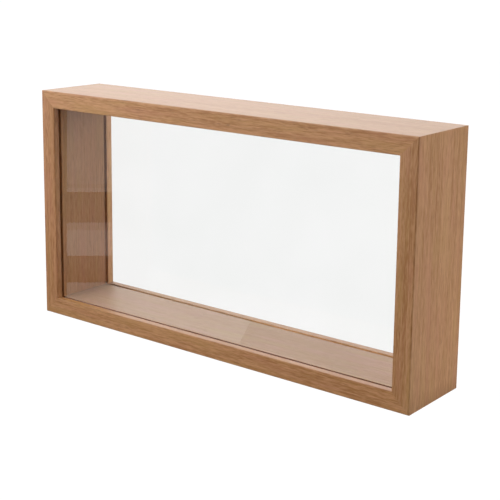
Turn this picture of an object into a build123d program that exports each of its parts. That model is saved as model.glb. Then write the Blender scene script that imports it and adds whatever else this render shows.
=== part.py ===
from build123d import *
import math
import os

# A glazed display box of four mitred oak boards, with a pane in front and a pane behind.
# The front faces -Y, the box stands on Z = 0, and the origin is the middle of its underside.

# Outside of the case, in millimetres
case_width = 320.0
case_height = 170.0
case_depth = 60.0

# Section of the four case boards: a wall, and a lip that stands in from it at the front
board_wall = 7.5
lip_reach = 5.0
lip_depth = 4.6
front_edge_radius = 0.8
lip_edge_radius = 0.5
rear_edge_radius = 0.6
corner_radius = 0.6

# Glass
glass_thickness = 2.0
pane_edge_clearance = 0.6
pane_corner_radius = 0.8
front_pane_play = 0.3
rear_pane_play = 0.8

# Eased edges of the liner boards and of the rear frame's beads where they meet the glass
glass_side_edge_radius = 0.3

# Rear frame of four mitred beads, which carries the rear pane and lifts off
bead_depth = 5.6
bead_side_clearance = 0.4
bead_recess = 0.3
bead_edge_radius = 0.5

# Magnets, one pair at each rear corner, met end to end past the clipped corner of the pane
magnet_diameter = 3.0
magnet_length = 4.0
magnet_gap = 0.1
magnet_glue_film = 0.05
magnet_to_glass = 0.4

# V nails punched a little below the rear of each mitre, apex towards the opening
nail_leg = 3.6
nail_sheet = 0.6
nail_length = 10.0
nail_apex_inset = 5.4
nail_punch_depth = 0.3

# Finger notch at the back of the top board, and the nail groove that it bares in the bead
notch_width = 20.0
notch_height = 3.5
notch_depth = 8.0
groove_length = 12.0
groove_radius = 0.7
groove_from_rear = 3.0

# Planes across the depth, worked out from front to back
front_y = -case_depth / 2
rear_y = case_depth / 2
lip_rear_y = front_y + lip_depth
liner_front_y = lip_rear_y + glass_thickness + front_pane_play
bead_rear_y = rear_y - bead_recess
bead_front_y = bead_rear_y - bead_depth
rear_pane_front_y = bead_front_y - glass_thickness
liner_rear_y = rear_pane_front_y - rear_pane_play

# Distances in from the outer faces, and what follows from them
opening_inset = board_wall + lip_reach
bead_inset = board_wall + bead_side_clearance
pane_inset = board_wall + pane_edge_clearance
magnet_inset = (bead_inset + opening_inset) / 2
magnet_proud = (bead_front_y - liner_rear_y - magnet_gap) / 2

# Each side of the box: the rail's length, and the place that turns its inward direction from +Z
sides = {
    "bottom": (case_width, Location((0, 0, 0), (0, 0, 0))),
    "left": (case_height, Location((-case_width / 2, 0, case_height / 2), (0, 90, 0))),
    "top": (case_width, Location((0, 0, case_height), (0, 180, 0))),
    "right": (case_height, Location((case_width / 2, 0, case_height / 2), (0, 270, 0))),
}


def section(outline, radii):
    """A rail's cross-section on the YZ plane, with the corners that have a radius rounded."""
    face = make_face(Plane.YZ * Polyline(*outline, close=True))
    for (y, z), radius in zip(outline, radii):
        if radius > 0:
            corner = face.vertices().sort_by_distance((0, y, z))[0]
            face = fillet(corner, radius)
    return face


def mitred_rail(face, length):
    """A straight rail along X whose ends are cut at 45 degrees, longest at its outer face Z = 0."""
    rail = extrude(face, amount=length / 2, both=True)
    for end in (-1, 1):
        mitre = Plane(origin=(end * length / 2, 0, 0), z_dir=(end, 0, 1))
        rail = split(rail, bisect_by=mitre, keep=Keep.BOTTOM)
    return rail


def across_corners(shape_at):
    """The four solids that shape_at gives for the signs of X and Z at each corner of the box."""
    return [shape_at(sign_x, sign_z) for sign_x in (-1, 1) for sign_z in (-1, 1)]


def corner_point(sign_x, sign_z, inset, y):
    """The point that lies the same distance in from both outer faces at one corner of the box."""
    x = sign_x * (case_width / 2 - inset)
    z = case_height / 2 + sign_z * (case_height / 2 - inset)
    return (x, y, z)


def case_section():
    """L-shaped: the lip with its rounded outer front edge, then the wall behind it."""
    outline = [
        (front_y, 0),
        (front_y, opening_inset),
        (lip_rear_y, opening_inset),
        (lip_rear_y, board_wall),
        (rear_y, board_wall),
        (rear_y, 0),
    ]
    radii = [front_edge_radius, lip_edge_radius, 0, 0, rear_edge_radius, rear_edge_radius]
    return section(outline, radii)


def liner_section():
    """Lies in the rebate on the wall, flush with the lip, its two inner edges eased."""
    outline = [
        (liner_front_y, board_wall),
        (liner_front_y, opening_inset),
        (liner_rear_y, opening_inset),
        (liner_rear_y, board_wall),
    ]
    return section(outline, [0, glass_side_edge_radius, glass_side_edge_radius, 0])


def bead_section():
    """A small bead that slips into the rebate behind the pane, rounded where it shows behind."""
    outline = [
        (bead_front_y, bead_inset),
        (bead_front_y, opening_inset),
        (bead_rear_y, opening_inset),
        (bead_rear_y, bead_inset),
    ]
    return section(outline, [0, glass_side_edge_radius, bead_edge_radius, bead_edge_radius])


def facing_front(y, z):
    """The plane at a depth y that faces the front, its origin in the middle at the height z."""
    return Plane(origin=(0, y, z), x_dir=(1, 0, 0), z_dir=(0, -1, 0))


def corner_bars(base_y, radius, length):
    """Four round bars along Y that start at base_y, one at each corner of the box."""

    def at_corner(sign_x, sign_z):
        place = Plane(origin=corner_point(sign_x, sign_z, magnet_inset, base_y), z_dir=(0, 1, 0))
        return place * Cylinder(radius, length, align=(Align.CENTER, Align.CENTER, Align.MIN))

    return across_corners(at_corner)


def corner_folds(rear_end_y, length):
    """Four strips folded to a right angle, one in each mitre, that run forward from rear_end_y."""

    def at_corner(sign_x, sign_z):
        apex_x, _, apex_z = corner_point(sign_x, sign_z, nail_apex_inset, 0)
        tip_x = apex_x + sign_x * nail_leg
        tip_z = apex_z + sign_z * nail_leg
        fold = FilletPolyline((tip_x, apex_z), (apex_x, apex_z), (apex_x, tip_z), radius=nail_sheet)
        strip = offset(fold, nail_sheet / 2)
        return extrude(facing_front(rear_end_y, 0) * make_face(strip), amount=length)

    return across_corners(at_corner)


def pane(front_face_y, clip):
    """A sheet of glass with ground corners: clipped off by clip, or rounded where it is zero."""
    width = case_width - 2 * pane_inset
    height = case_height - 2 * pane_inset
    sheet = Rectangle(width, height)
    if clip > 0:
        sheet = chamfer(sheet.vertices(), clip)
    else:
        sheet = fillet(sheet.vertices(), pane_corner_radius)
    place = facing_front(front_face_y + glass_thickness, case_height / 2)
    return extrude(place * sheet, amount=glass_thickness)


def finger_notch():
    """A segment of a circle cut up into the top board from the rebate, open at the back."""
    radius = (notch_height**2 + (notch_width / 2) ** 2) / (2 * notch_height)
    centre_z = case_height - board_wall + notch_height - radius
    place = facing_front(rear_y, centre_z)
    return place * Cylinder(radius, notch_depth, align=(Align.CENTER, Align.CENTER, Align.MIN))


def nail_groove():
    """A round-bottomed groove along the outer face of the top bead, in the middle of the notch."""
    place = Plane(origin=(0, bead_rear_y - groove_from_rear, case_height - bead_inset), z_dir=(1, 0, 0))
    return place * Cylinder(groove_radius, groove_length)


def outer_envelope():
    """The block that the whole box fits in, with the four corners that run front to back eased."""
    place = facing_front(rear_y, case_height / 2)
    return extrude(place * RectangleRounded(case_width, case_height, corner_radius), amount=case_depth)


def pane_corner_clip():
    """The leg of the 45 degree clip that keeps the glass clear of the magnets at its corners."""
    to_magnet = math.sqrt(2) * (magnet_inset - pane_inset) + magnet_diameter / 2 + magnet_to_glass
    return math.sqrt(2) * to_magnet


def build():
    """Every node of the display box, by name."""
    nails = corner_folds(rear_y - nail_punch_depth, nail_length)
    nail_slots = corner_folds(rear_y, nail_punch_depth + nail_length)
    magnet_radius = magnet_diameter / 2
    case_magnet_y = liner_rear_y + magnet_proud - magnet_length
    frame_magnet_y = bead_front_y - magnet_proud
    case_magnets = corner_bars(case_magnet_y, magnet_radius, magnet_length)
    frame_magnets = corner_bars(frame_magnet_y, magnet_radius, magnet_length)
    liner_pockets = corner_bars(case_magnet_y, magnet_radius + magnet_glue_film, magnet_length)
    bead_pockets = corner_bars(frame_magnet_y, magnet_radius + magnet_glue_film, magnet_length)

    envelope = outer_envelope()
    nodes = {}
    for side, (length, place) in sides.items():
        board = place * mitred_rail(case_section(), length)
        nodes["case_" + side] = (board & envelope) - nail_slots
        nodes["liner_" + side] = place * mitred_rail(liner_section(), length) - liner_pockets
        nodes["bead_" + side] = place * mitred_rail(bead_section(), length) - bead_pockets
    nodes["case_top"] -= finger_notch()
    nodes["bead_top"] -= nail_groove()
    nodes["front_pane"] = pane(lip_rear_y, 0)
    nodes["rear_pane"] = pane(rear_pane_front_y, pane_corner_clip())
    nodes["case_magnets"] = Compound(children=case_magnets)
    nodes["frame_magnets"] = Compound(children=frame_magnets)
    nodes["corner_nails"] = Compound(children=nails)
    return nodes


os.makedirs("parts", exist_ok=True)
for name, shape in build().items():
    export_step(shape, "parts/" + name + ".step")
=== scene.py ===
import logging
import math
from dataclasses import dataclass
from enum import Enum

import bpy
import numpy as np
from mathutils import Matrix, Vector


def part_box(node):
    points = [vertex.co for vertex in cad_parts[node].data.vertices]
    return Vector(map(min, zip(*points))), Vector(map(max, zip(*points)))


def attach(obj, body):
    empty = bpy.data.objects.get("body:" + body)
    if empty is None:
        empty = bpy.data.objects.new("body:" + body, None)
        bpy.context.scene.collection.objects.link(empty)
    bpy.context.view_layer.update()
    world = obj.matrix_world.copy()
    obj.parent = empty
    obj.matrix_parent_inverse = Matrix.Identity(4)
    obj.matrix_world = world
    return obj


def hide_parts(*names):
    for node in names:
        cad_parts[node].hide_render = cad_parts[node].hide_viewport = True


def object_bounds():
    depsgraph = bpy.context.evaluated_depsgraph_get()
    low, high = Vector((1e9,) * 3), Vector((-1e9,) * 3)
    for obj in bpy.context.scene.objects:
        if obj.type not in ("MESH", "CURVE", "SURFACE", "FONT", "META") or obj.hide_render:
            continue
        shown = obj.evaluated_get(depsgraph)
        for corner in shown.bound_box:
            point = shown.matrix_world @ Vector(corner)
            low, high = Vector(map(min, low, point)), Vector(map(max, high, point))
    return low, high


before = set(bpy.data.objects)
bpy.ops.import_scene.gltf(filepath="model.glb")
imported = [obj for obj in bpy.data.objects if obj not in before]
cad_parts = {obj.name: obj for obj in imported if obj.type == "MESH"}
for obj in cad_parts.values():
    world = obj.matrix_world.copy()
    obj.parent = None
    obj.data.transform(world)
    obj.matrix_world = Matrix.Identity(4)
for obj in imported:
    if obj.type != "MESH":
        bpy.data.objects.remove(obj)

# An oak display box with a pane in front and a pane behind, dressed and set on a pale floor.
# All sizes are metres. The front faces -Y, and the box stands on Z = 0.

logging.basicConfig(level=logging.INFO, format="%(name)s: %(message)s")
log = logging.getLogger("display_box")

CAD_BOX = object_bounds()
WHITE = (1.0, 1.0, 1.0, 1.0)
UNCHANGED = (1.0, 1.0, 1.0)


class Side(Enum):
    """The four sides of the box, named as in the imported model."""

    TOP = "top"
    BOTTOM = "bottom"
    LEFT = "left"
    RIGHT = "right"


class Grain(Enum):
    """The axis that the wood's fibres run along."""

    ALONG_X = 0
    ALONG_Z = 2


class Body(Enum):
    """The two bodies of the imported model."""

    CASE = "case"
    REAR_FRAME = "rear_frame"


class Corner(Enum):
    """How the corners of a pane are ground."""

    ROUNDED = "rounded"
    CLIPPED = "clipped"


GRAIN_OF_SIDE = {
    Side.TOP: Grain.ALONG_X,
    Side.BOTTOM: Grain.ALONG_X,
    Side.LEFT: Grain.ALONG_Z,
    Side.RIGHT: Grain.ALONG_Z,
}


class NodeSheet:
    """A node tree, with one short method for each kind of node used here."""

    def __init__(self, tree: bpy.types.NodeTree) -> None:
        """Starts on an empty tree.

        Args:
            tree: the node tree, whose nodes are cleared.
        """
        self.tree = tree
        self.tree.nodes.clear()

    def add(self, kind: str, **settings: object) -> bpy.types.Node:
        """Adds a node.

        Args:
            kind: the node's type.
            settings: properties of the node, by name.

        Returns:
            The new node.
        """
        node = self.tree.nodes.new(kind)
        for name, value in settings.items():
            setattr(node, name, value)
        return node

    def feed(self, node: bpy.types.Node, values: dict) -> None:
        """Links a node's inputs to other nodes' outputs, or sets their own values.

        Args:
            node: the node.
            values: for each input's name or number, an output, a number, a colour or a vector.
        """
        for key, value in values.items():
            socket = node.inputs[key]
            if isinstance(value, bpy.types.NodeSocket):
                self.tree.links.new(value, socket)
            else:
                socket.default_value = value

    def place(self, per_metre: tuple, offset: tuple = (0.0, 0.0, 0.0)) -> bpy.types.NodeSocket:
        """Object coordinates, stretched and then moved.

        Args:
            per_metre: the stretch along X, Y and Z, in cells per metre.
            offset: what is added, in cells.

        Returns:
            The vector output.
        """
        coordinates = self.add("ShaderNodeTexCoord").outputs["Object"]
        mapping = self.add("ShaderNodeMapping")
        self.feed(mapping, {"Vector": coordinates, "Location": offset, "Scale": per_metre})
        return mapping.outputs["Vector"]

    def noise(self, vector: bpy.types.NodeSocket, detail: float = 2.0) -> bpy.types.NodeSocket:
        """Smooth noise of unit scale.

        Args:
            vector: where it is read.
            detail: how many finer octaves it has.

        Returns:
            The value, about 0.5 on average.
        """
        node = self.add("ShaderNodeTexNoise")
        self.feed(node, {"Vector": vector, "Scale": 1.0, "Detail": detail})
        return node.outputs[0]

    def calculate(self, operation: str, a: object, b: object = 0.0) -> bpy.types.NodeSocket:
        """One step of arithmetic.

        Args:
            operation: Blender's name for it.
            a: the first number or output.
            b: the second, where the operation takes two.

        Returns:
            The result.
        """
        node = self.add("ShaderNodeMath", operation=operation)
        self.feed(node, {0: a, 1: b})
        return node.outputs[0]

    def weighted_sum(self, *terms: tuple) -> bpy.types.NodeSocket:
        """Adds up outputs, each times its weight.

        Args:
            terms: pairs of an output and a weight.

        Returns:
            The sum.
        """
        total = 0.0
        for value, weight in terms:
            total = self.calculate("ADD", total, self.calculate("MULTIPLY", value, weight))
        return total

    def stretch(self, value: object, source: tuple, target: tuple = (0.0, 1.0)) -> bpy.types.NodeSocket:
        """Carries one range over to another, smoothly at its ends.

        Args:
            value: the output to carry over.
            source: the two values that give the target's two ends.
            target: the results there and beyond.

        Returns:
            The result.
        """
        node = self.add("ShaderNodeMapRange", interpolation_type="SMOOTHSTEP")
        ends = dict(zip(("From Min", "From Max", "To Min", "To Max"), (*source, *target)))
        self.feed(node, {"Value": value, **ends})
        return node.outputs["Result"]

    def pick(self, flag: bpy.types.NodeSocket, otherwise: object, chosen: object) -> bpy.types.NodeSocket:
        """One number or the other.

        Args:
            flag: an output of 0 or 1.
            otherwise: the number or output for 0.
            chosen: the number or output for 1.

        Returns:
            The number's output.
        """
        node = self.add("ShaderNodeMix", data_type="FLOAT")
        self.feed(node, {0: flag, 2: otherwise, 3: chosen})
        return node.outputs[0]

    def blend(self, share: object, first: object, second: object) -> bpy.types.NodeSocket:
        """A colour between two colours.

        Args:
            share: the second colour's share.
            first: a colour or its output.
            second: a colour or its output.

        Returns:
            The colour output.
        """
        node = self.add("ShaderNodeMix", data_type="RGBA")
        self.feed(node, {0: share, 6: first, 7: second})
        return node.outputs[2]

    def times(self, colour: bpy.types.NodeSocket, shares: tuple) -> bpy.types.NodeSocket:
        """A colour times a share for each of red, green and blue.

        Args:
            colour: the colour's output.
            shares: the three shares.

        Returns:
            The product's output.
        """
        node = self.add("ShaderNodeVectorMath", operation="MULTIPLY")
        self.feed(node, {0: colour, 1: shares})
        return node.outputs[0]

    def parts(self, vector: bpy.types.NodeSocket) -> bpy.types.NodeOutputs:
        """The X, Y and Z of a vector.

        Args:
            vector: the vector's output.

        Returns:
            The three outputs, by name.
        """
        node = self.add("ShaderNodeSeparateXYZ")
        self.feed(node, {0: vector})
        return node.outputs

    def bump(self, height: bpy.types.NodeSocket, depth: float) -> bpy.types.NodeSocket:
        """A normal disturbed by a height.

        Args:
            height: the height's output, from 0 to 1.
            depth: the height in metres that 1 stands for.

        Returns:
            The normal output.
        """
        node = self.add("ShaderNodeBump")
        self.feed(node, {"Strength": 1.0, "Distance": depth, "Height": height})
        return node.outputs["Normal"]

    def mix_shaders(self, share: object, first: bpy.types.Node, second: bpy.types.Node) -> bpy.types.Node:
        """A shader between two shaders.

        Args:
            share: the second shader's share.
            first: a shader's node.
            second: a shader's node.

        Returns:
            The new node.
        """
        node = self.add("ShaderNodeMixShader")
        self.feed(node, {0: share, 1: first.outputs[0], 2: second.outputs[0]})
        return node


class ShaderSheet(NodeSheet):
    """A new material and its nodes."""

    def __init__(self, name: str) -> None:
        """Starts an empty material.

        Args:
            name: the material's name.
        """
        self.material = bpy.data.materials.new(name)
        self.material.use_nodes = True
        super().__init__(self.material.node_tree)
        self.output = self.add("ShaderNodeOutputMaterial")

    def finish_with(self, shader: bpy.types.Node) -> bpy.types.Material:
        """Links the shader to the output and gives the material."""
        self.feed(self.output, {"Surface": shader.outputs[0]})
        return self.material


def opaque(colour: tuple) -> tuple:
    """A colour of three numbers with full alpha."""
    return (*colour, 1.0)


@dataclass(frozen=True)
class Figure:
    """One noise in the grain of a board.

    It has so many cells per metre along and across the fibres. Its number moves it apart from the
    others, and its share is what it adds to the tone.
    """

    along: float
    across: float
    number: int
    share: float = 0.0
    detail: float = 2.0


@dataclass(frozen=True)
class OakFinish:
    """Satin oak with straight grain.

    Its tone is the sum of four figures drawn out along the fibres: wide bands, the long thin lines
    of the year rings, streaks and fine fibres. Short dark pores crowd where the streaks are dark,
    and a slow change of hue runs from ochre to rosy. The tone runs from deep to pale over a spread
    on both sides of its middle. A wider spread makes the grain softer: it is boldest on faces to the
    front and back, softer on the box's sides and softest on level faces, where the softening is a
    painted sheen that stands for the satin sheen washing out the grain. A face counts as one of
    these where the matching part of its normal is more than facing. Pairs named ends are the values
    between which a noise starts and comes into full effect.
    """

    pale: tuple = (0.555, 0.287, 0.130)
    deep: tuple = (0.355, 0.147, 0.042)
    pore: tuple = (0.215, 0.092, 0.032)
    rosy: tuple = (0.490, 0.210, 0.108)
    ochre: tuple = (0.450, 0.242, 0.074)
    bands: Figure = Figure(4.0, 60.0, 1, 0.12)
    rings: Figure = Figure(8.0, 600.0, 6, 0.28)
    streaks: Figure = Figure(45.0, 760.0, 2, 0.20)
    fibres: Figure = Figure(160.0, 1500.0, 3, 0.40)
    dashes: Figure = Figure(170.0, 2600.0, 4, detail=1.0)
    tints: Figure = Figure(20.0, 150.0, 5)
    board_step: tuple = (7.31, 11.17, 5.23)
    figure_step: tuple = (3.7, -2.9, 1.3)
    tone_spread: float = 0.112
    side_softness: float = 1.30
    level_sheen_softening: float = 2.3
    facing: float = 0.9
    pore_ends: tuple = (0.60, 0.72)
    crowding_ends: tuple = (0.35, 0.60)
    crowding: tuple = (0.75, 0.15)
    rosy_ends: tuple = (0.50, 0.72)
    ochre_ends: tuple = (0.28, 0.50)
    tint_share: float = 0.45
    fibre_height: float = 0.35
    relief: float = 0.000015
    roughness: float = 0.40
    roughness_swing: float = 0.02
    ior: float = 1.5

    def drawn_out(self, sheet: NodeSheet, figure: Figure, grain: Grain, board: int) -> bpy.types.NodeSocket:
        """A figure drawn out along the fibres.

        It is moved by the board's number times one step and its own number times another.

        Args:
            sheet: the board's nodes.
            figure: the figure.
            grain: the axis of the fibres.
            board: the board's number.

        Returns:
            The noise's value.
        """
        per_metre = [figure.across] * 3
        per_metre[grain.value] = figure.along
        steps = zip(self.board_step, self.figure_step)
        offset = tuple(by_board * board + by_figure * figure.number for by_board, by_figure in steps)
        return sheet.noise(sheet.place(tuple(per_metre), offset), figure.detail)

    def material(self, name: str, grain: Grain, board: int, tone: tuple, front: tuple) -> bpy.types.Material:
        """The finish on one board.

        Args:
            name: the material's name.
            grain: the axis of the fibres.
            board: the board's number, which moves the grain so that no two boards match.
            tone: the board's colour as shares of the usual red, green and blue; on some boards a painted
                sheen or painted light.
            front: the colour of its front faces, as shares of the rest of the board; painted shade or
                painted light for the shaded grooves by the panes.

        Returns:
            The material.
        """
        sheet = ShaderSheet(name)
        figures = (self.bands, self.rings, self.streaks, self.fibres, self.dashes, self.tints)
        drawn = [self.drawn_out(sheet, figure, grain, board) for figure in figures]
        streak, fibre, dash, tint = drawn[2:]
        sums = sheet.weighted_sum(*((value, figure.share) for value, figure in zip(drawn[:4], figures)))

        normal = sheet.parts(sheet.add("ShaderNodeNewGeometry").outputs["True Normal"])
        sideways, level = (
            sheet.calculate("GREATER_THAN", sheet.calculate("ABSOLUTE", normal[axis]), self.facing)
            for axis in ("X", "Z")
        )
        # Painted sheen: level faces get the widest spread, so their grain is washed out as a satin sheen
        # would wash it out.
        spread = sheet.pick(sideways, self.tone_spread, self.tone_spread * self.side_softness)
        spread = sheet.pick(level, spread, self.tone_spread * self.level_sheen_softening)
        ends = (sheet.calculate("SUBTRACT", 0.5, spread), sheet.calculate("ADD", 0.5, spread))
        paleness = sheet.stretch(sums, ends)
        crowding = sheet.stretch(streak, self.crowding_ends, self.crowding)
        pores = sheet.calculate("MULTIPLY", sheet.stretch(dash, self.pore_ends), crowding)

        deep, pale, rosy, ochre, pore = (
            opaque(tuple(np.multiply(colour, tone).tolist()))
            for colour in (self.deep, self.pale, self.rosy, self.ochre, self.pore)
        )
        wood = sheet.blend(paleness, deep, pale)
        wood = sheet.blend(sheet.stretch(tint, self.rosy_ends, (0.0, self.tint_share)), wood, rosy)
        wood = sheet.blend(sheet.stretch(tint, self.ochre_ends, (self.tint_share, 0.0)), wood, ochre)
        wood = sheet.blend(pores, wood, pore)
        # Front faces take the board's front shares: painted shade or painted light in the shaded grooves by
        # the panes.
        forward = sheet.calculate("LESS_THAN", normal["Y"], -self.facing)
        wood = sheet.blend(forward, wood, sheet.times(wood, front))

        gloss = (self.roughness + self.roughness_swing, self.roughness - self.roughness_swing)
        height = sheet.weighted_sum((fibre, self.fibre_height), (pores, -1.0))
        shader = sheet.add("ShaderNodeBsdfPrincipled")
        sheet.feed(shader, {
            "Base Color": wood,
            "Roughness": sheet.stretch(paleness, (0.0, 1.0), gloss),
            "IOR": self.ior,
            "Normal": sheet.bump(height, self.relief),
        })
        return sheet.finish_with(shader)


@dataclass(frozen=True)
class GlassFinish:
    """Clear float glass.

    A face lets the light through unbent, takes a little of it, and mirrors a share that grows with
    the angle. Only the face that the ray enters mirrors, for both, so the index stands for what the
    whole pane mirrors. What doesn't face straight forward or back is ground, and a dull grained
    brown.
    """

    clear: tuple = (0.993, 0.994, 0.993)
    smeared: tuple = (0.987, 0.989, 0.987)
    smears_per_metre: float = 22.0
    smear_detail: float = 3.0
    smear_offset: tuple = (1.7, 0.3, 4.1)
    smear_ends: tuple = (0.35, 0.65)
    ior: float = 1.7
    facing: float = 0.9
    ground: tuple = (0.33, 0.235, 0.155)
    ground_pale: tuple = (0.40, 0.30, 0.21)
    ground_roughness: float = 0.35
    grit_per_metre: float = 900.0

    def material(self, name: str) -> bpy.types.Material:
        """The finish on a pane.

        Args:
            name: the material's name.

        Returns:
            The material.
        """
        sheet = ShaderSheet(name)
        geometry = sheet.add("ShaderNodeNewGeometry").outputs
        smears = sheet.noise(sheet.place((self.smears_per_metre,) * 3, self.smear_offset), self.smear_detail)
        tint = sheet.blend(sheet.stretch(smears, self.smear_ends), opaque(self.clear), opaque(self.smeared))
        through = sheet.add("ShaderNodeBsdfTransparent")
        sheet.feed(through, {"Color": tint})
        mirror = sheet.add("ShaderNodeBsdfGlossy")
        sheet.feed(mirror, {"Color": WHITE, "Roughness": 0.0})
        fresnel = sheet.add("ShaderNodeFresnel")
        sheet.feed(fresnel, {"IOR": self.ior})
        entering = sheet.calculate("SUBTRACT", 1.0, geometry["Backfacing"])
        mirrored = sheet.calculate("MULTIPLY", fresnel.outputs[0], entering)
        face = sheet.mix_shaders(mirrored, through, mirror)

        grit = sheet.noise(sheet.place((self.grit_per_metre,) * 3))
        # Ground edges: a dull brown with a fine grain.
        ground_brown = sheet.blend(grit, opaque(self.ground), opaque(self.ground_pale))
        edge = sheet.add("ShaderNodeBsdfPrincipled")
        sheet.feed(edge, {"Base Color": ground_brown, "Roughness": self.ground_roughness})
        straight = sheet.calculate("ABSOLUTE", sheet.parts(geometry["True Normal"])["Y"])
        on_edge = sheet.calculate("LESS_THAN", straight, self.facing)
        return sheet.finish_with(sheet.mix_shaders(on_edge, face, edge))


@dataclass(frozen=True)
class MetalFinish:
    """A metal with fine marks from working, drawn out along the part, and faint tarnish."""

    bright: tuple
    tarnished: tuple
    marks_per_metre: tuple
    roughness: float
    mark_depth: float
    mark_detail: float = 3.0
    mark_ends: tuple = (0.3, 0.7)
    smoother: float = 0.06
    rougher: float = 0.10
    clouds_per_metre: float = 700.0
    cloud_offset: tuple = (3.0, 1.0, 2.0)
    cloud_ends: tuple = (0.40, 0.65)

    def material(self, name: str) -> bpy.types.Material:
        """The finish on a small metal part.

        Args:
            name: the material's name.

        Returns:
            The material.
        """
        sheet = ShaderSheet(name)
        marks = sheet.noise(sheet.place(self.marks_per_metre), self.mark_detail)
        clouds = sheet.noise(sheet.place((self.clouds_per_metre,) * 3, self.cloud_offset))
        tarnish = sheet.stretch(clouds, self.cloud_ends)
        gloss = (self.roughness - self.smoother, self.roughness + self.rougher)
        shader = sheet.add("ShaderNodeBsdfPrincipled")
        sheet.feed(shader, {
            "Metallic": 1.0,
            "Base Color": sheet.blend(tarnish, opaque(self.bright), opaque(self.tarnished)),
            "Roughness": sheet.stretch(marks, self.mark_ends, gloss),
            "Normal": sheet.bump(marks, self.mark_depth),
        })
        return sheet.finish_with(shader)


CASE_OAK = OakFinish()
LINER_OAK = OakFinish(roughness=0.50, tone_spread=0.16)
BEAD_OAK = OakFinish(roughness=0.45)
FRONT_GLASS = GlassFinish()
REAR_GLASS = GlassFinish(ior=1.45)
NICKEL_PLATE = MetalFinish(
    bright=(0.80, 0.78, 0.74),
    tarnished=(0.66, 0.62, 0.56),
    marks_per_metre=(900.0, 250.0, 900.0),
    roughness=0.22,
    mark_depth=0.000004,
)
SHEET_STEEL = MetalFinish(
    bright=(0.60, 0.60, 0.61),
    tarnished=(0.38, 0.37, 0.36),
    marks_per_metre=(2500.0, 120.0, 2500.0),
    roughness=0.36,
    mark_depth=0.000008,
)


def dress(node: str, material: bpy.types.Material) -> None:
    """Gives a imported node's object its finish.

    Args:
        node: the node's name.
        material: the finish.
    """
    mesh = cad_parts[node].data
    mesh.materials.clear()
    mesh.materials.append(material)


def mesh_piece(name: str, points: np.ndarray, faces: list, material: bpy.types.Material) -> bpy.types.Object:
    """Makes an object of a computed surface.

    Args:
        name: the object's name.
        points: an array of points, one row each.
        faces: arrays of corners, one row for each face; the arrays may differ in width.
        material: the finish.

    Returns:
        The object, at the origin.
    """
    corners = [row for array in faces for row in array.tolist()]
    mesh = bpy.data.meshes.new(name)
    mesh.from_pydata(points.tolist(), [], corners)
    mesh.update()
    mesh.materials.append(material)
    piece = bpy.data.objects.new(name, mesh)
    bpy.context.scene.collection.objects.link(piece)
    return piece


def upright(outline: np.ndarray, y: float) -> np.ndarray:
    """Points of an outline of X and Z, all set at the depth y."""
    return np.insert(outline, 1, y, axis=1)


def numbered(rings: np.ndarray) -> np.ndarray:
    """The running numbers of points that are stacked in rings, one row for each ring."""
    return np.arange(rings[..., 0].size).reshape(rings.shape[:2])


def closed_rings(rings: np.ndarray) -> list:
    """The faces of a surface that runs through rings of points, closed at both ends.

    Neighbouring points of neighbouring rings make a quad, the last point of a ring meets its first,
    and the first and last rings are each one flat face.

    Args:
        rings: the numbers of the points, one row for each ring. Seen from the end that a surface
            starts at, each ring runs clockwise.

    Returns:
        Arrays of corners for mesh_piece.
    """
    along, ahead = rings, np.roll(rings, -1, axis=1)
    quads = np.stack([along[:-1], ahead[:-1], ahead[1:], along[1:]], axis=-1).reshape(-1, 4)
    return [quads, rings[:1, ::-1], rings[-1:]]


def smooth_over(piece: bpy.types.Object, angle: float) -> None:
    """Shades a piece smooth, apart from the edges that turn by more than an angle.

    Args:
        piece: the object.
        angle: in radians.
    """
    piece.data.polygons.foreach_set("use_smooth", np.ones(len(piece.data.polygons), dtype=bool))
    piece.data.set_sharp_from_angle(angle=angle)


@dataclass
class OakSides:
    """Four mitred boards of oak, one for each side of the box.

    The tones are the boards' colours as shares of the usual oak: their own tones, apart from the
    lower liner's painted sheen and the left bead's painted light. The front shares colour the faces
    that bed a pane, as shares of the board's own; where they differ from one, they are painted shade
    or painted light. Both are in the order of Side.
    """

    prefix: str
    finish: OakFinish
    first_board: int
    tones: tuple
    painted_front_shading: tuple = (UNCHANGED,) * len(Side)

    def build(self) -> list[str]:
        """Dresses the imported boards, each with its fibres along it.

        Returns:
            Their names.
        """
        names = [self.prefix + side.value for side in Side]
        for number, (side, name) in enumerate(zip(Side, names)):
            board = self.first_board + number
            colours = (self.tones[number], self.painted_front_shading[number])
            dress(name, self.finish.material("oak_" + name, GRAIN_OF_SIDE[side], board, *colours))
        return names


@dataclass
class CaseBoards(OakSides):
    """The four outer boards: each a wall with the lip that holds the front pane."""

    prefix: str = "case_"
    finish: OakFinish = CASE_OAK
    first_board: int = 1
    tones: tuple = ((0.97, 0.96, 0.90), (1.01, 1.00, 1.00), (0.90, 0.84, 0.79), (0.94, 0.95, 0.94))


@dataclass
class Liners(OakSides):
    """The four inner boards between the panes. The front face of the lower one is darkened as painted shade
    for the groove by the front pane, and the left one's is lightened as painted light; the lower one's
    paler, greyer tone is a painted sheen.
    """

    prefix: str = "liner_"
    finish: OakFinish = LINER_OAK
    first_board: int = 5
    # Painted sheen: the lower liner's tone is paler and greyer, standing in for the satin sheen on the inner
    # floor.
    tones: tuple = (UNCHANGED, (0.91, 1.12, 1.58), (0.92, 0.90, 0.83), UNCHANGED)
    # Painted shade: the lower liner's front face is darkened for the shaded groove by the front pane;
    # painted light lightens the left liner's front face.
    painted_front_shading: tuple = (UNCHANGED, (0.44, 0.22, 0.08), (1.20, 1.10, 1.00), UNCHANGED)


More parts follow.
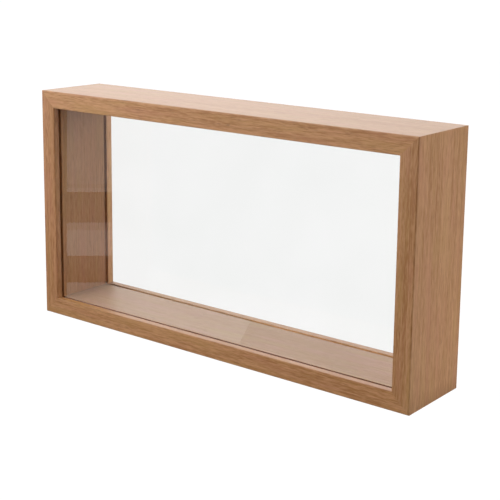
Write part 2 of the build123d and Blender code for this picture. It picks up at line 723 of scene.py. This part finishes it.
@dataclass
class RearFrame(OakSides):
    """The four beads that carry the rear pane and lift off with it. Their front faces are paler, partly as
    raw oak and partly as painted light for the shaded groove behind the rear pane; the left bead's lighter
    tone is painted light from behind.
    """

    prefix: str = "bead_"
    finish: OakFinish = BEAD_OAK
    first_board: int = 9
    # Painted light: the left bead's lighter tone stands in for light falling on it from behind.
    tones: tuple = (UNCHANGED, (0.90, 0.95, 1.0), (1.25, 1.33, 1.46), UNCHANGED)
    # Partly raw oak, partly painted light: the beads' front faces are paler to lift the shaded groove behind
    # the rear pane.
    painted_front_shading: tuple = ((1.65, 1.75, 1.75), (1.80, 1.90, 1.90), (1.40, 1.35, 1.25), (1.65, 1.75, 1.75))


@dataclass
class Pane:
    """A sheet of glass with its sharp edges taken off, in the place of the plain packed one."""

    node: str
    body: Body
    corner: Corner
    corner_size: float
    finish: GlassFinish
    arris: float = 0.0002
    corner_points: int = 7

    def outline(self, half_width: float, half_height: float, inset: float) -> np.ndarray:
        """The pane's outline, drawn in by an inset, round its middle.

        Each corner turns through a quarter circle about a centre that stands in from both sides. A
        rounded corner has points on the whole arc, and its radius shrinks by the inset. A clipped one
        has two points, the ends of a 45 degree cut whose leg shrinks by 2 minus root 2 insets.

        Args:
            half_width: from the middle to the side.
            half_height: from the middle to the top.
            inset: how far the outline is drawn in.

        Returns:
            Points as rows of X and Z, clockwise as seen from the front.
        """
        if self.corner is Corner.ROUNDED:
            leg = self.corner_size - inset
            turn = np.linspace(0.0, np.pi / 2, self.corner_points)
        else:
            leg = self.corner_size - (2.0 - math.sqrt(2.0)) * inset
            turn = np.array([0.0, np.pi / 2])
        angle = np.pi / 2 * np.arange(4)[:, None] + turn
        centre_x = (half_width - inset - leg) * np.array([1.0, 1.0, -1.0, -1.0])[:, None]
        centre_z = (half_height - inset - leg) * np.array([1.0, -1.0, -1.0, 1.0])[:, None]
        corners = np.stack([centre_x + leg * np.sin(angle), centre_z + leg * np.cos(angle)], axis=-1)
        return corners.reshape(-1, 2)

    def build(self) -> list[str]:
        """Makes the pane: its outline carried over the thickness, drawn in by the arris at both faces.

        Returns:
            The pane's name.
        """
        low, high = (np.array(corner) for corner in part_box(self.node))
        middle, half = (low + high) / 2, (high - low) / 2
        stations = [
            (low[1], self.arris),
            (low[1] + self.arris, 0.0),
            (high[1] - self.arris, 0.0),
            (high[1], self.arris),
        ]
        rings = np.stack([
            upright(middle[[0, 2]] + self.outline(half[0], half[2], inset), y) for y, inset in stations
        ])
        glass = self.finish.material(self.node + "_glass")
        piece = mesh_piece("glass_" + self.node, rings.reshape(-1, 3), closed_rings(numbered(rings)), glass)
        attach(piece, self.body.value)
        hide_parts(self.node)
        return [piece.name]


@dataclass
class CornerMagnets:
    """Four round magnets, one at each rear corner, in the place of the plain packed ones."""

    node: str
    body: Body
    edge_radius: float = 0.0003
    edge_points: int = 4
    sides: int = 40
    sharp_from: float = 30.0
    finish: MetalFinish = NICKEL_PLATE

    def barrel_radius(self) -> float:
        """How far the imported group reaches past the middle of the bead.

        Returns:
            The radius of a magnet.
        """
        _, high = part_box(self.node)
        bead_low, bead_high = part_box("bead_right")
        return high[0] - (bead_low[0] + bead_high[0]) / 2

    def build(self) -> list[str]:
        """Makes the magnets: a profile of radius against length turned about an axis along Y.

        The profile runs over the rounded edge of one end, along the barrel and over the other edge,
        and each point of it becomes a ring of points at equal angles. All four magnets are one
        object of closed shells.

        Returns:
            The object's name.
        """
        low, high = (np.array(corner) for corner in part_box(self.node))
        radius = self.barrel_radius()
        turn = np.linspace(0.0, np.pi / 2, self.edge_points)
        reach = radius - self.edge_radius + self.edge_radius * np.sin(turn)
        depth = self.edge_radius * (1.0 - np.cos(turn))
        profile_r = np.concatenate([reach, reach[::-1]])[:, None]
        profile_y = np.concatenate([low[1] + depth, (high[1] - depth)[::-1]])[:, None]
        angle = 2.0 * np.pi * np.arange(self.sides) / self.sides
        ring_x, ring_z = profile_r * np.sin(angle), profile_r * np.cos(angle)
        ring_y = np.broadcast_to(profile_y, ring_x.shape)
        points, faces = [], []
        for centre_x in (low[0] + radius, high[0] - radius):
            for centre_z in (low[2] + radius, high[2] - radius):
                rings = np.stack([centre_x + ring_x, ring_y, centre_z + ring_z], axis=-1)
                faces += closed_rings(numbered(rings) + ring_x.size * len(points))
                points.append(rings.reshape(-1, 3))
        nickel = self.finish.material(self.node + "_nickel")
        piece = mesh_piece("round_" + self.node, np.concatenate(points), faces, nickel)
        smooth_over(piece, math.radians(self.sharp_from))
        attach(piece, self.body.value)
        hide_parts(self.node)
        return [piece.name]


@dataclass
class CornerNails:
    """Four V nails driven into the backs of the mitres, in the place of the plain packed ones."""

    node: str = "corner_nails"
    leg: float = 0.0036
    sheet: float = 0.0006
    bend_points: int = 9
    edge_length: float = 0.0015
    edge_share: float = 0.25
    finish: MetalFinish = SHEET_STEEL

    def section(self, half_sheet: float) -> np.ndarray:
        """The outline of the folded strip, for the corner where X and Z are both positive.

        The middle line runs in along X, round a quarter circle whose radius is the sheet's thickness,
        and out along Z. The outline is that line offset to both sides, with a half circle round each
        tip.

        Args:
            half_sheet: half the thickness there.

        Returns:
            Points as rows of X and Z from where the legs' middle lines would cross, clockwise as seen
            from the front.
        """
        turn = np.linspace(0.0, np.pi / 2, self.bend_points)
        around = np.linspace(0.0, np.pi, self.bend_points)
        quarter = np.stack([np.sin(turn), np.cos(turn)], axis=1)
        outer = self.sheet - (self.sheet + half_sheet) * quarter
        inner = self.sheet - (self.sheet - half_sheet) * quarter[::-1]
        tip_z = np.stack([-half_sheet * np.cos(around), self.leg + half_sheet * np.sin(around)], axis=1)
        tip_x = np.stack([self.leg + half_sheet * np.sin(around), half_sheet * np.cos(around)], axis=1)
        return np.concatenate([outer, tip_z, inner, tip_x])

    def build(self) -> list[str]:
        """Makes the nails: the section carried along Y, thinned over its last stretch to a cutting edge.

        The section is mirrored for the other corners, and where that turns its points round, they
        are taken backwards. All four nails are one object of closed shells.

        Returns:
            The object's name.
        """
        low, high = (np.array(corner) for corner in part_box(self.node))
        stations = [
            (low[1], self.edge_share),
            (low[1] + self.edge_length, 1.0),
            (high[1], 1.0),
        ]
        half = self.sheet / 2
        points, faces = [], []
        for sign_x in (-1, 1):
            for sign_z in (-1, 1):
                signs = np.array([sign_x, sign_z])
                tips = np.where(signs > 0, high[[0, 2]], low[[0, 2]])
                rings = np.stack([
                    upright(tips + signs * (self.section(half * share) - self.leg - half), y)
                    for y, share in stations
                ])
                numbers = numbered(rings) + rings[..., 0].size * len(points)
                faces += closed_rings(numbers[:, ::-1] if sign_x * sign_z < 0 else numbers)
                points.append(rings.reshape(-1, 3))
        steel = self.finish.material("nail_steel")
        piece = mesh_piece("driven_" + self.node, np.concatenate(points), faces, steel)
        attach(piece, Body.CASE.value)
        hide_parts(self.node)
        return [piece.name]


@dataclass(frozen=True)
class Glow:
    """A soft round patch of light in the surround, full within its core and gone at its rim.

    Angles are degrees. The azimuth is 0 behind the box and 90 on its right.
    """

    azimuth: float
    elevation: float
    strength: float
    core: float = 8.0
    rim: float = 30.0

    def direction(self) -> tuple:
        """Where its middle lies.

        Returns:
            A unit vector.
        """
        azimuth, elevation = math.radians(self.azimuth), math.radians(self.elevation)
        flat = math.cos(elevation)
        return (math.sin(azimuth) * flat, math.cos(azimuth) * flat, math.sin(elevation))


@dataclass
class Studio:
    """A pale floor, a pale surround with soft glows in it, and a lamp on the left in front.

    Floor and surround each have a level for the eye, one for a clear pane that mirrors them, and one
    for the light on the wood. The floor has one more for what satin wood mirrors.
    """

    glows: tuple = (
        Glow(0.0, 30.0, 3.95),
        Glow(45.0, 8.0, 1.50),
        Glow(90.0, 8.0, 4.50),
        Glow(-135.0, 8.0, 5.70),
        Glow(-45.0, 8.0, 1.10),
        Glow(-45.0, 30.0, 1.30),
        Glow(-45.0, 55.0, 1.25),
    )
    backdrop: float = 1.05
    surround_in_glass: float = 0.60
    floor_reach: float = 7.0
    floor_lines: int = 9
    floor_drop: float = 0.00005
    floor_to_eye: float = 1.01
    floor_in_glass: float = 0.05
    floor_in_satin: float = 0.36
    floor_light: tuple = (0.00, 1.00)
    floor_turn: tuple = (-0.03, -0.01)
    floor_shadow: float = 0.03
    floor_dark: tuple = (0.030, 0.030, 0.030)
    floor_pale: tuple = (0.035, 0.035, 0.035)
    mottle_per_metre: float = 6.0
    lamp_position: tuple = (-0.25, -0.45, 0.45)
    lamp_aim: tuple = (0.0, 0.0, 0.08)
    lamp_width: float = 0.3
    lamp_watts: float = 1.75

    def build(self) -> list[str]:
        """Makes the surround, the floor and the lamp.

        Returns:
            Their names.
        """
        bpy.context.scene.view_settings.view_transform = "Standard"
        return [self.set_surround(), self.lay_floor(), self.hang_lamp()]

    def set_surround(self) -> str:
        """White to the eye, an even grey in glass, and the sum of the glows as a light.

        A glow's strength rises smoothly with the cosine of the angle from its middle.

        Returns:
            The surround's name.
        """
        world = bpy.data.worlds.new("surround")
        bpy.context.scene.world = world
        world.use_nodes = True
        sheet = NodeSheet(world.node_tree)
        toward = sheet.add("ShaderNodeTexCoord").outputs["Generated"]
        ray = sheet.add("ShaderNodeLightPath").outputs
        light = 0.0
        for glow in self.glows:
            near = sheet.add("ShaderNodeVectorMath", operation="DOT_PRODUCT")
            sheet.feed(near, {0: toward, 1: glow.direction()})
            span = (math.cos(math.radians(glow.rim)), math.cos(math.radians(glow.core)))
            gleam = sheet.stretch(near.outputs["Value"], span, (0.0, glow.strength))
            light = sheet.calculate("ADD", light, gleam)
        level = sheet.pick(ray["Is Singular Ray"], light, self.surround_in_glass)
        level = sheet.pick(ray["Is Camera Ray"], level, self.backdrop)
        back = sheet.add("ShaderNodeBackground")
        sheet.feed(back, {"Color": WHITE, "Strength": level})
        sheet.feed(sheet.add("ShaderNodeOutputWorld"), {"Surface": back.outputs[0]})
        return world.name

    def lay_floor(self) -> str:
        """A flat grid just under the box, z = -drop, bright behind and dim in front as a light.

        As a light it also fades out towards the box: away is how far a point lies outside the box's
        outline, the larger of its distances in X and Y.

        Returns:
            The floor's name.
        """
        reach = np.linspace(-self.floor_reach, self.floor_reach, self.floor_lines)
        x, y = np.meshgrid(reach, reach)
        points = np.stack([x.ravel(), y.ravel(), np.full(x.size, -self.floor_drop)], axis=1)
        at = np.arange(x.size).reshape(x.shape)
        faces = np.stack([at[:-1, :-1], at[:-1, 1:], at[1:, 1:], at[1:, :-1]], axis=-1).reshape(-1, 4)

        sheet = ShaderSheet("pale_floor")
        ray = sheet.add("ShaderNodeLightPath").outputs
        spot = sheet.parts(sheet.add("ShaderNodeTexCoord").outputs["Object"])
        half_width, half_depth, _ = CAD_BOX[1]
        away_x, away_y = (
            sheet.calculate("SUBTRACT", sheet.calculate("ABSOLUTE", spot[axis]), half)
            for axis, half in (("X", half_width), ("Y", half_depth))
        )
        away = sheet.calculate("MAXIMUM", away_x, away_y)
        level = sheet.stretch(spot["Y"], self.floor_turn, self.floor_light)
        level = sheet.calculate("MULTIPLY", level, sheet.stretch(away, (0.0, self.floor_shadow)))
        level = sheet.pick(ray["Is Diffuse Ray"], 0.0, level)
        level = sheet.pick(ray["Is Glossy Ray"], level, self.floor_in_satin)
        level = sheet.pick(ray["Is Singular Ray"], level, self.floor_in_glass)
        level = sheet.pick(ray["Is Camera Ray"], level, self.floor_to_eye)
        even = sheet.add("ShaderNodeEmission")
        sheet.feed(even, {"Strength": level})
        mottle = sheet.noise(sheet.place((self.mottle_per_metre,) * 3))
        shaded = sheet.add("ShaderNodeBsdfDiffuse")
        sheet.feed(shaded, {"Color": sheet.blend(mottle, opaque(self.floor_dark), opaque(self.floor_pale))})
        both = sheet.add("ShaderNodeAddShader")
        sheet.feed(both, {0: even.outputs[0], 1: shaded.outputs[0]})
        floor = mesh_piece("studio_floor", points, [faces], sheet.finish_with(both))
        return floor.name

    def hang_lamp(self) -> str:
        """Hangs a square soft lamp that faces the box.

        Returns:
            The lamp's name.
        """
        data = bpy.data.lights.new("left_lamp", "AREA")
        data.size = self.lamp_width
        data.energy = self.lamp_watts
        lamp = bpy.data.objects.new("left_lamp", data)
        lamp.location = self.lamp_position
        lamp.rotation_mode = "QUATERNION"
        toward = Vector(self.lamp_aim) - Vector(self.lamp_position)
        lamp.rotation_quaternion = toward.to_track_quat("-Z", "Y")
        lamp.visible_glossy = False
        bpy.context.scene.collection.objects.link(lamp)
        return lamp.name


@dataclass
class Viewpoint:
    """The camera, from in front, on the right and a little above.

    It looks along yaw, pitch and roll in degrees, and the picture's middle lies lower than the lens
    axis, as in a picture cropped from a larger one.
    """

    position: tuple = (0.49119, -0.60893, 0.27585)
    yaw: float = -38.127
    pitch: float = -10.840
    roll: float = -0.654
    focal_pixels: float = 1165.3
    picture_pixels: float = 500.0
    axis_row: float = 170.0
    sensor: float = 36.0
    nearest: float = 0.01
    farthest: float = 100.0

    def axes(self) -> tuple:
        """The camera's right, down and forward directions.

        Returns:
            Three arrays: forward from yaw and pitch, and right and down turned about it by roll.
        """
        yaw, pitch, roll = (math.radians(angle) for angle in (self.yaw, self.pitch, self.roll))
        flat = math.cos(pitch)
        forward = np.array([math.sin(yaw) * flat, math.cos(yaw) * flat, math.sin(pitch)])
        level = np.array([math.cos(yaw), -math.sin(yaw), 0.0])
        down = np.cross(forward, level)
        right = level * math.cos(roll) + down * math.sin(roll)
        return right, -level * math.sin(roll) + down * math.cos(roll), forward

    def sight_lines(self, columns: np.ndarray, rows: np.ndarray) -> np.ndarray:
        """The directions that picture points are seen in.

        Args:
            columns: how far from the picture's left edge they are.
            rows: how far from its top edge.

        Returns:
            One direction each: forward, plus right and down times the distance from the lens axis.
        """
        right, down, forward = self.axes()
        across = (columns - self.picture_pixels / 2) / self.focal_pixels
        below = (rows - self.axis_row) / self.focal_pixels
        return forward + across[:, None] * right + below[:, None] * down

    def build(self) -> list[str]:
        """Makes the camera.

        Returns:
            Its name.
        """
        data = bpy.data.cameras.new("viewpoint")
        data.sensor_width = self.sensor
        data.lens = self.focal_pixels / self.picture_pixels * self.sensor
        data.shift_y = (self.axis_row - self.picture_pixels / 2) / self.picture_pixels
        data.clip_start, data.clip_end = self.nearest, self.farthest
        right, down, forward = self.axes()
        turn = Matrix(np.stack([right, -down, -forward], axis=1).tolist())
        camera = bpy.data.objects.new("viewpoint", data)
        camera.rotation_mode = "QUATERNION"
        camera.rotation_quaternion = turn.to_quaternion()
        camera.location = self.position
        bpy.context.scene.collection.objects.link(camera)
        bpy.context.scene.camera = camera
        return [camera.name]


@dataclass(frozen=True)
class Patch:
    """A patch of a mirrored card: its corners as picture columns and rows, and how bright it is."""

    corners: tuple
    brightness: float


def level_band(first_row: float, last_row: float, brightness: float) -> Patch:
    """A patch that lies level across the left inner wall.

    Args:
        first_row: the picture row of its top.
        last_row: the row of its foot.
        brightness: how bright it is.

    Returns:
        The patch.
    """
    first_column, last_column = 67.0, 112.0
    top = ((first_column, first_row), (last_column, first_row))
    foot = ((last_column, last_row), (first_column, last_row))
    return Patch(top + foot, brightness)


@dataclass
class MirrorCard:
    """A card of bright patches that only the front pane mirrors.

    Seen in the pane, level bands lie over the left inner wall, and a last patch over the left part
    of the inner floor. The card stands parallel to the pane, in front of it, and each patch lies
    where the mirrored sight lines of its corners cross the card.
    """

    viewpoint: Viewpoint
    patches: tuple = (
        level_band(96.0, 184.0, 0.62),
        level_band(184.0, 188.0, 0.48),
        level_band(188.0, 192.0, 0.68),
        level_band(222.5, 230.0, 0.52),
        level_band(230.0, 255.7, 0.78),
        level_band(282.5, 318.0, 0.70),
        Patch(((112.0, 284.5), (251.0, 319.8), (237.0, 348.0), (112.0, 313.5)), 0.66),
    )
    stand_off: float = 0.02
    clouds_per_metre: float = 60.0
    cloud_ends: tuple = (0.3, 0.7)
    cloud_span: tuple = (0.94, 1.06)

    def build(self) -> list[str]:
        """Makes the card, one quad for each patch.

        A sight line meets the pane's front plane, its depth turns round there, and it goes on to the
        card's plane: so the point is where the line from the camera's mirror image meets that plane.

        Returns:
            The card's name.
        """
        (_, pane_y, _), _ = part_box("front_pane")
        corners = np.array([patch.corners for patch in self.patches]).reshape(-1, 2)
        sight = self.viewpoint.sight_lines(corners[:, 0], corners[:, 1])
        start = np.array(self.viewpoint.position)
        to_card = (pane_y - start[1]) / sight[:, 1] + self.stand_off / sight[:, 1]
        points = start + to_card[:, None] * sight
        points[:, 1] = pane_y - self.stand_off
        quads = np.arange(len(points)).reshape(-1, 4)
        first, *others = (self.lit(number) for number in range(len(self.patches)))
        card = mesh_piece("mirror_card", points, [quads], first)
        for material in others:
            card.data.materials.append(material)
        card.data.polygons.foreach_set("material_index", np.arange(len(self.patches), dtype=np.int32))
        card.visible_camera = False
        card.visible_diffuse = False
        card.visible_transmission = False
        card.visible_shadow = False
        return [card.name]

    def lit(self, number: int) -> bpy.types.Material:
        """A light that shows only in a mirror seen directly, and is clear to all else.

        Args:
            number: the patch's number.

        Returns:
            The material.
        """
        sheet = ShaderSheet("card_patch_%d" % number)
        ray = sheet.add("ShaderNodeLightPath").outputs
        clouds = sheet.noise(sheet.place((self.clouds_per_metre,) * 3))
        span = tuple(self.patches[number].brightness * share for share in self.cloud_span)
        glow = sheet.add("ShaderNodeEmission")
        sheet.feed(glow, {"Strength": sheet.stretch(clouds, self.cloud_ends, span)})
        first = sheet.calculate("LESS_THAN", ray["Transparent Depth"], 0.5)
        shows = sheet.calculate("MULTIPLY", ray["Is Singular Ray"], first)
        return sheet.finish_with(sheet.mix_shaders(shows, sheet.add("ShaderNodeBsdfTransparent"), glow))


def main() -> None:
    """Builds the camera, the studio and every part of the box, and reports each piece."""
    viewpoint = Viewpoint()
    assemblies = (
        viewpoint,
        Studio(),
        MirrorCard(viewpoint),
        CaseBoards(),
        Liners(),
        RearFrame(),
        Pane("front_pane", Body.CASE, Corner.ROUNDED, 0.0008, FRONT_GLASS),
        Pane("rear_pane", Body.REAR_FRAME, Corner.CLIPPED, 0.00689, REAR_GLASS),
        CornerMagnets("case_magnets", Body.CASE),
        CornerMagnets("frame_magnets", Body.REAR_FRAME),
        CornerNails(),
    )
    for assembly in assemblies:
        for name in assembly.build():
            log.info("%s: %s", type(assembly).__name__, name)


if __name__ == "__main__":
    main()
